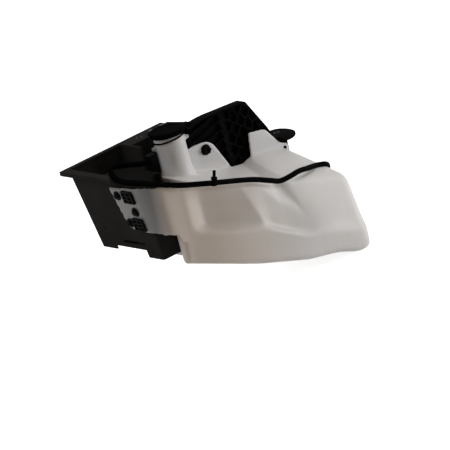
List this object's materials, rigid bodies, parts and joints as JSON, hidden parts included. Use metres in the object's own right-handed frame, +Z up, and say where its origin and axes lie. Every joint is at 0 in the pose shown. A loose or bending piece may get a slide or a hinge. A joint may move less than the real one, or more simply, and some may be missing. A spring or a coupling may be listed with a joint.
{
  "type": "washer fluid reservoir",
  "caption": "Blow-moulded washer fluid tank with upright filler neck and flip lid, fixed to a black carrier tub and ribbed bracket, with pump and harness conduit.",
  "frame": {"origin": "centre of the filler mouth, on the rim of the neck", "axes": "+Z up along the filler neck, +X along the tub's back rim towards the tank's low end, +Y to the back"},
  "size_m": [0.4759, 0.2583, 0.316],
  "materials": {
    "blown_white": "translucent blow-moulded",
    "tub_black": "satin moulded",
    "bracket_black": "satin moulded",
    "lid_black": "satin moulded",
    "seal_rubber": "matt",
    "conduit_black": "corrugated",
    "tie_black": "satin",
    "pump_black": "satin moulded",
    "plug_black": "satin moulded",
    "strainer_white": "moulded",
    "zinc_steel": "zinc plated",
    "fixing_black": "satin moulded"
  },
  "bodies": {
    "reservoir": {"tank": "blown_white", "tank_arm": "blown_white", "carrier_tub": "tub_black", "rib_bracket": "bracket_black", "tether_ring": "lid_black", "tab_bolt": "fixing_black", "flange_screw_upper": "fixing_black", "flange_screw_middle": "fixing_black", "flange_screw_lower": "fixing_black", "grid_clip_upper": "fixing_black", "grid_clip_lower": "fixing_black", "plate_rivet": "fixing_black", "harness_conduit": "conduit_black", "cable_tie": "tie_black", "washer_pump": "pump_black", "pump_grommet": "seal_rubber", "inlet_strainer": "strainer_white", "pump_plug": "plug_black", "harness_plug": "plug_black", "shelf_screw_left": "zinc_steel", "shelf_screw_right": "zinc_steel", "shelf_sleeve": "zinc_steel", "ear_sleeve": "zinc_steel"},
    "lid": {"filler_lid": "lid_black", "lid_seal": "seal_rubber"}
  },
  "joints": [
    {"name": "lid_hinge", "type": "hinge", "parent": "reservoir", "child": "lid", "pos_m": [0.02985, -0.02013, -0.008], "axis": [0.5592, 0.829, 0], "range_deg": [0, 135]}
  ]
}
